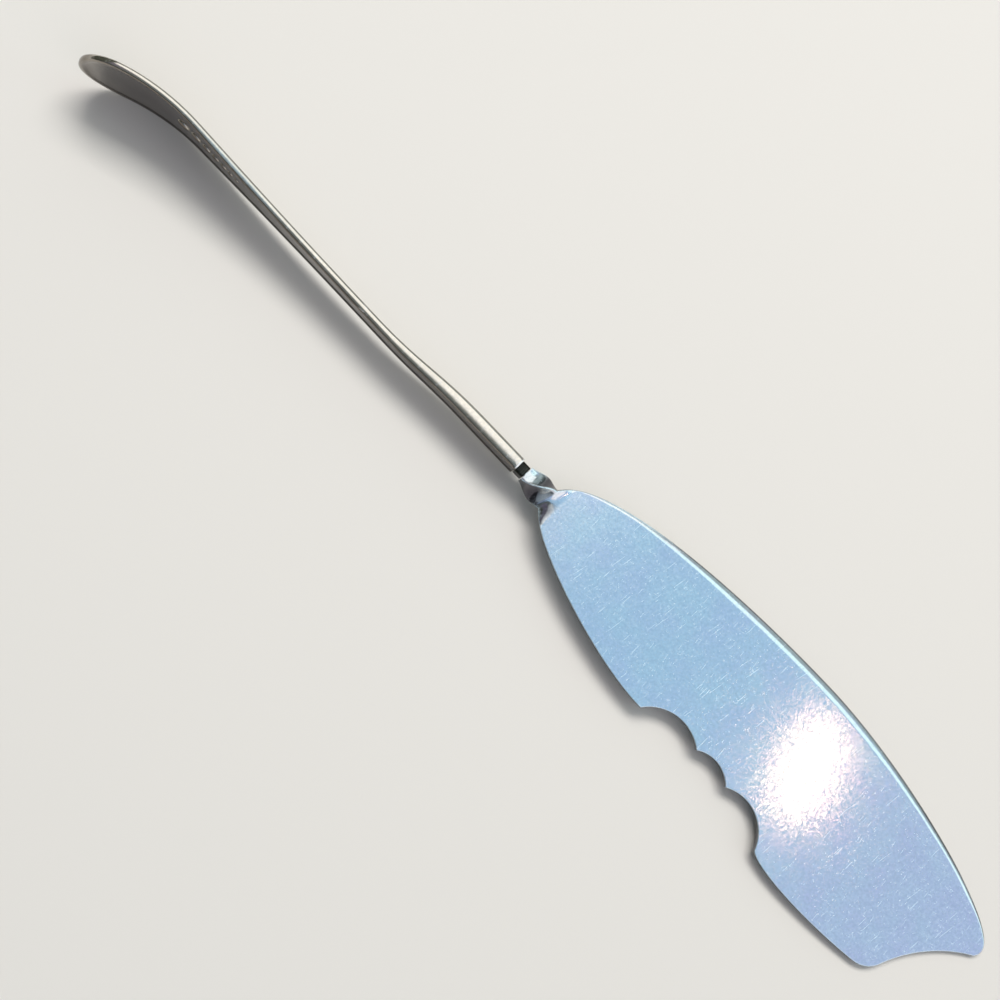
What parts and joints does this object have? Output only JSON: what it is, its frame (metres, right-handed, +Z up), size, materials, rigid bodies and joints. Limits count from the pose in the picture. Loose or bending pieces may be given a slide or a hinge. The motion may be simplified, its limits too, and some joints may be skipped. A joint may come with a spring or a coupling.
{
  "type": "butter knife",
  "caption": "Flat-handled butter knife with a quarter-turn neck and a broad flat blade that has scallops in its belly and a hollow end.",
  "frame": {"origin": "middle of the knife in plan, on the table that it lies on", "axes": "+X from the handle to the blade's tip, +Y to the blade's spine, +Z up from the table"},
  "size_m": [0.1868, 0.0266, 0.0154],
  "materials": {
    "silver_plate": "worn and scratched silver plate",
    "hard_solder": "tarnished"
  },
  "bodies": {
    "root": {"handle": "silver_plate", "solder_seam": "hard_solder", "blade": "silver_plate"}
  },
  "joints": []
}
